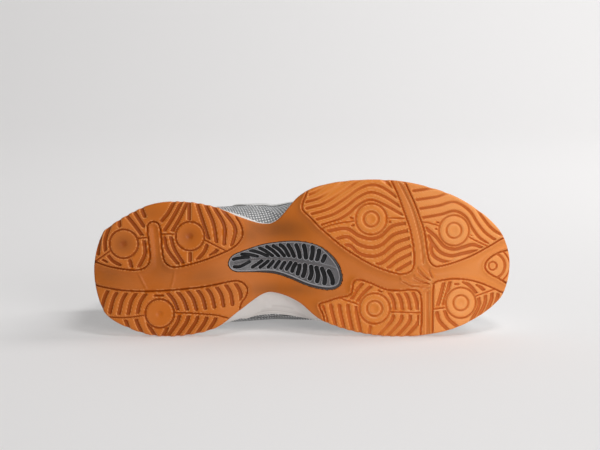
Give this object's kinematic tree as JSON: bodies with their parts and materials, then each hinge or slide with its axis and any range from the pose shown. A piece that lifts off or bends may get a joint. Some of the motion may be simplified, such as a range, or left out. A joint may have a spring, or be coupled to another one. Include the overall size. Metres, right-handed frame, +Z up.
{
  "type": "indoor court shoe",
  "caption": "Right low-cut indoor court shoe lying on its medial side, with a gum tread outsole, a leaf-shaped shank window, a foam midsole and a laced mesh upper.",
  "frame": {"origin": "middle of the box that holds the lying shoe, on the floor", "axes": "+X from heel to toe, +Z up from the floor, the tread faces -Y and slightly up"},
  "size_m": [0.297, 0.1276, 0.1102],
  "materials": {
    "gum_rubber": "satin moulded rubber",
    "dark_plastic": "satin moulded plastic",
    "white_foam": "smooth foam skin",
    "grey_foam": "cloth-covered foam",
    "grey_mesh": "knitted mesh",
    "tongue_mesh": "padded mesh",
    "overlay_white": "fine-grained synthetic leather",
    "lace_white": "flat woven lace"
  },
  "bodies": {
    "root": {"outsole": "gum_rubber", "shank": "dark_plastic", "midsole": "white_foam", "insole": "grey_foam", "upper": "grey_mesh", "tongue": "tongue_mesh", "toe_cap": "overlay_white", "heel_counter": "overlay_white", "eyestay": "overlay_white", "laces": "lace_white"}
  },
  "joints": []
}
